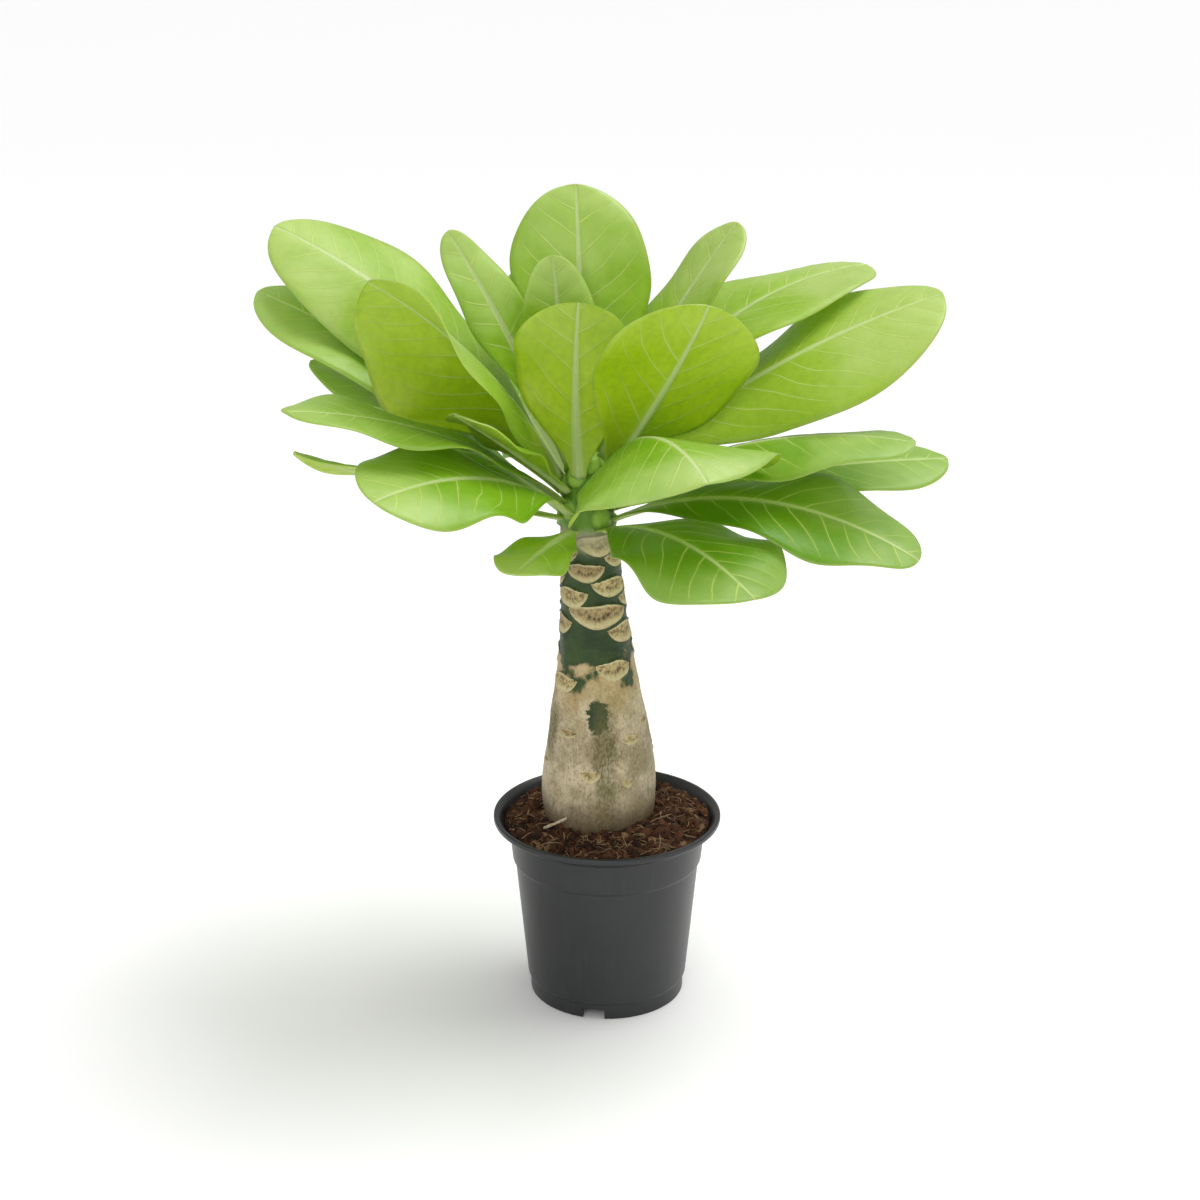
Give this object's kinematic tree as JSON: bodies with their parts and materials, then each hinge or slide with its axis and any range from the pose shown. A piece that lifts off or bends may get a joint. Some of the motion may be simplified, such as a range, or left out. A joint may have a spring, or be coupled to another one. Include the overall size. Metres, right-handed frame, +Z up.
{
  "type": "potted hawaiian palm",
  "caption": "Succulent with a swollen bottle-shaped stem and a crown of broad spoon-shaped leaves, standing in soil in a round plastic nursery pot.",
  "frame": {"origin": "centre of the bottom of the whole object's box, on the surface that the pot's foot stands on", "axes": "+Z up along the stem, -Y towards the viewer, +X to the viewer's right"},
  "size_m": [0.387, 0.2868, 0.4579],
  "materials": {
    "pot": "satin anthracite injection-moulded plastic",
    "soil": "coarse moist coir and peat potting mix",
    "trunk": "succulent stem, green and leaf-scarred above, khaki and wrinkled below",
    "twig": "dry pale wood",
    "leaf": "smooth fleshy leaf with a waxy sheen and a pale rib"
  },
  "bodies": {
    "root": {"pot": "pot", "soil": "soil", "trunk": "trunk", "twig": "twig", "leaf_01": "leaf", "leaf_02": "leaf", "leaf_03": "leaf", "leaf_04": "leaf", "leaf_05": "leaf", "leaf_06": "leaf", "leaf_07": "leaf", "leaf_08": "leaf", "leaf_09": "leaf", "leaf_10": "leaf", "leaf_11": "leaf", "leaf_12": "leaf", "leaf_13": "leaf", "leaf_14": "leaf", "leaf_15": "leaf", "leaf_16": "leaf", "leaf_17": "leaf", "leaf_18": "leaf", "leaf_19": "leaf", "leaf_20": "leaf", "leaf_21": "leaf", "leaf_22": "leaf", "leaf_23": "leaf", "leaf_24": "leaf", "leaf_25": "leaf", "leaf_26": "leaf", "leaf_27": "leaf", "leaf_28": "leaf"}
  },
  "joints": []
}
